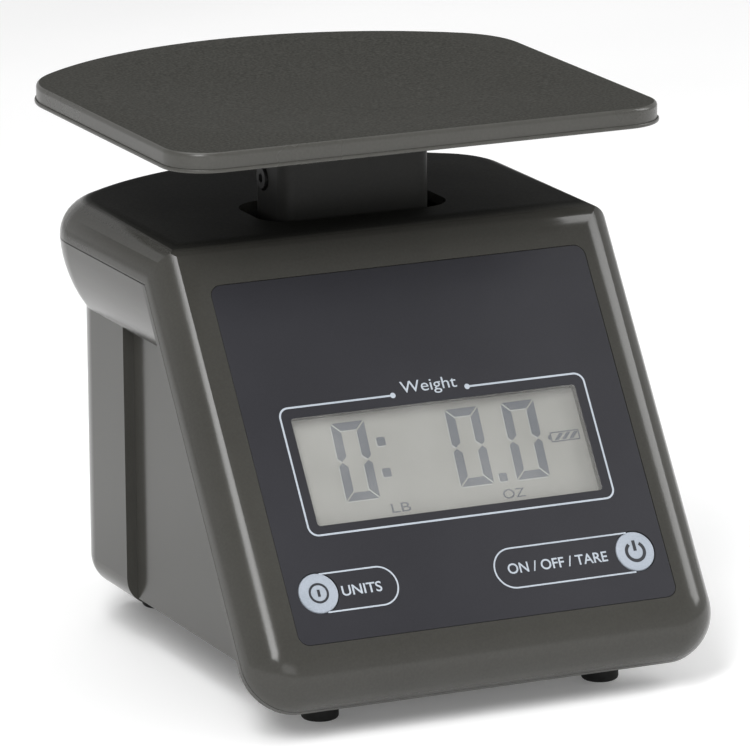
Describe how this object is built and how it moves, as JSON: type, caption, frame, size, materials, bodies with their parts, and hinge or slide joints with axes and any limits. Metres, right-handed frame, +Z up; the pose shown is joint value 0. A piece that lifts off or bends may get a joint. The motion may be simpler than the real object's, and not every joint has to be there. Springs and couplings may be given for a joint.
{
  "type": "postal scale",
  "caption": "Compact digital postal scale: a dished weighing platform on a post above a wedge-shaped body with a sloping face that holds a display and round keys.",
  "frame": {"origin": "under the middle of the bounding box, on the surface that the feet stand on", "axes": "+Z up; the sloping face with the display looks towards -Y and up; +X to the right of a person who reads the display"},
  "size_m": [0.14, 0.1726, 0.1469],
  "materials": {
    "casing": "moulded ABS, warm dark grey, glossy, fine texture on the top",
    "platform_plastic": "moulded ABS, fine grain on top, glossy rim on top, glossy rim",
    "post_plastic": "moulded ABS, dark, fine texture",
    "screw_steel": "zinc plated",
    "cell_aluminium": "milled",
    "gauge_film": "polyimide film",
    "overlay_film": "printed polyester film, satin",
    "window_clear": "clear acrylic",
    "lcd": "reflective display glass, grey-green",
    "frame_plastic": "moulded, satin",
    "contact_rubber": "silicone with carbon layers",
    "key_print": "pale grey, satin",
    "dome_metal": "stainless dome",
    "board": "solder mask over glass fibre",
    "chip_plastic": "moulded epoxy",
    "part_plastic": "mixed small parts",
    "socket_plastic": "nylon",
    "cable_grey": "PVC jacket",
    "battery_case": "painted steel can, plain",
    "foot_rubber": "black rubber, matte",
    "lead_insulation": "PVC insulation"
  },
  "bodies": {
    "case": {"front_cover": "casing", "rear_housing": "casing", "base_plate": "casing", "overlay": "overlay_film", "display_window": "window_clear", "display_glass": "lcd", "display_frame": "frame_plastic", "contact_strips": "contact_rubber", "dome_switches": "dome_metal", "circuit_board": "board", "board_chips": "chip_plastic", "board_parts": "part_plastic", "board_sockets": "socket_plastic", "board_screws": "screw_steel", "load_cell": "cell_aluminium", "strain_gauges": "gauge_film", "cell_spacer": "cell_aluminium", "cell_base_screws": "screw_steel", "overload_stop": "screw_steel", "cell_cable": "cable_grey", "battery": "battery_case", "battery_snap": "foot_rubber", "battery_leads": "lead_insulation", "case_screws": "screw_steel", "base_screws": "screw_steel", "front_feet": "foot_rubber", "rear_feet": "foot_rubber"},
    "weighing_side": {"platform": "platform_plastic", "post": "post_plastic", "post_screws": "screw_steel", "cell_top_screws": "screw_steel"},
    "units_button": {"units_key": "key_print"},
    "power_button": {"power_key": "key_print"},
    "door": {"battery_door": "casing"}
  },
  "joints": [
    {"name": "platform_sink", "type": "slide", "parent": "case", "child": "weighing_side", "axis": [0, 0, 1], "range_m": [-0.0008, 0], "stiffness_N_per_m": 45000, "deforming": ["load_cell"]},
    {"name": "units_key_press", "type": "slide", "parent": "case", "child": "units_button", "axis": [0, 0.8261, -0.5635], "range_m": [0, 0.0004], "stiffness_N_per_m": 3000},
    {"name": "power_key_press", "type": "slide", "parent": "case", "child": "power_button", "axis": [0, 0.8261, -0.5635], "range_m": [0, 0.0004], "stiffness_N_per_m": 3000},
    {"name": "battery_door_slide", "type": "slide", "parent": "case", "child": "door", "axis": [0, 1, 0], "range_m": [0, 0.012]}
  ]
}
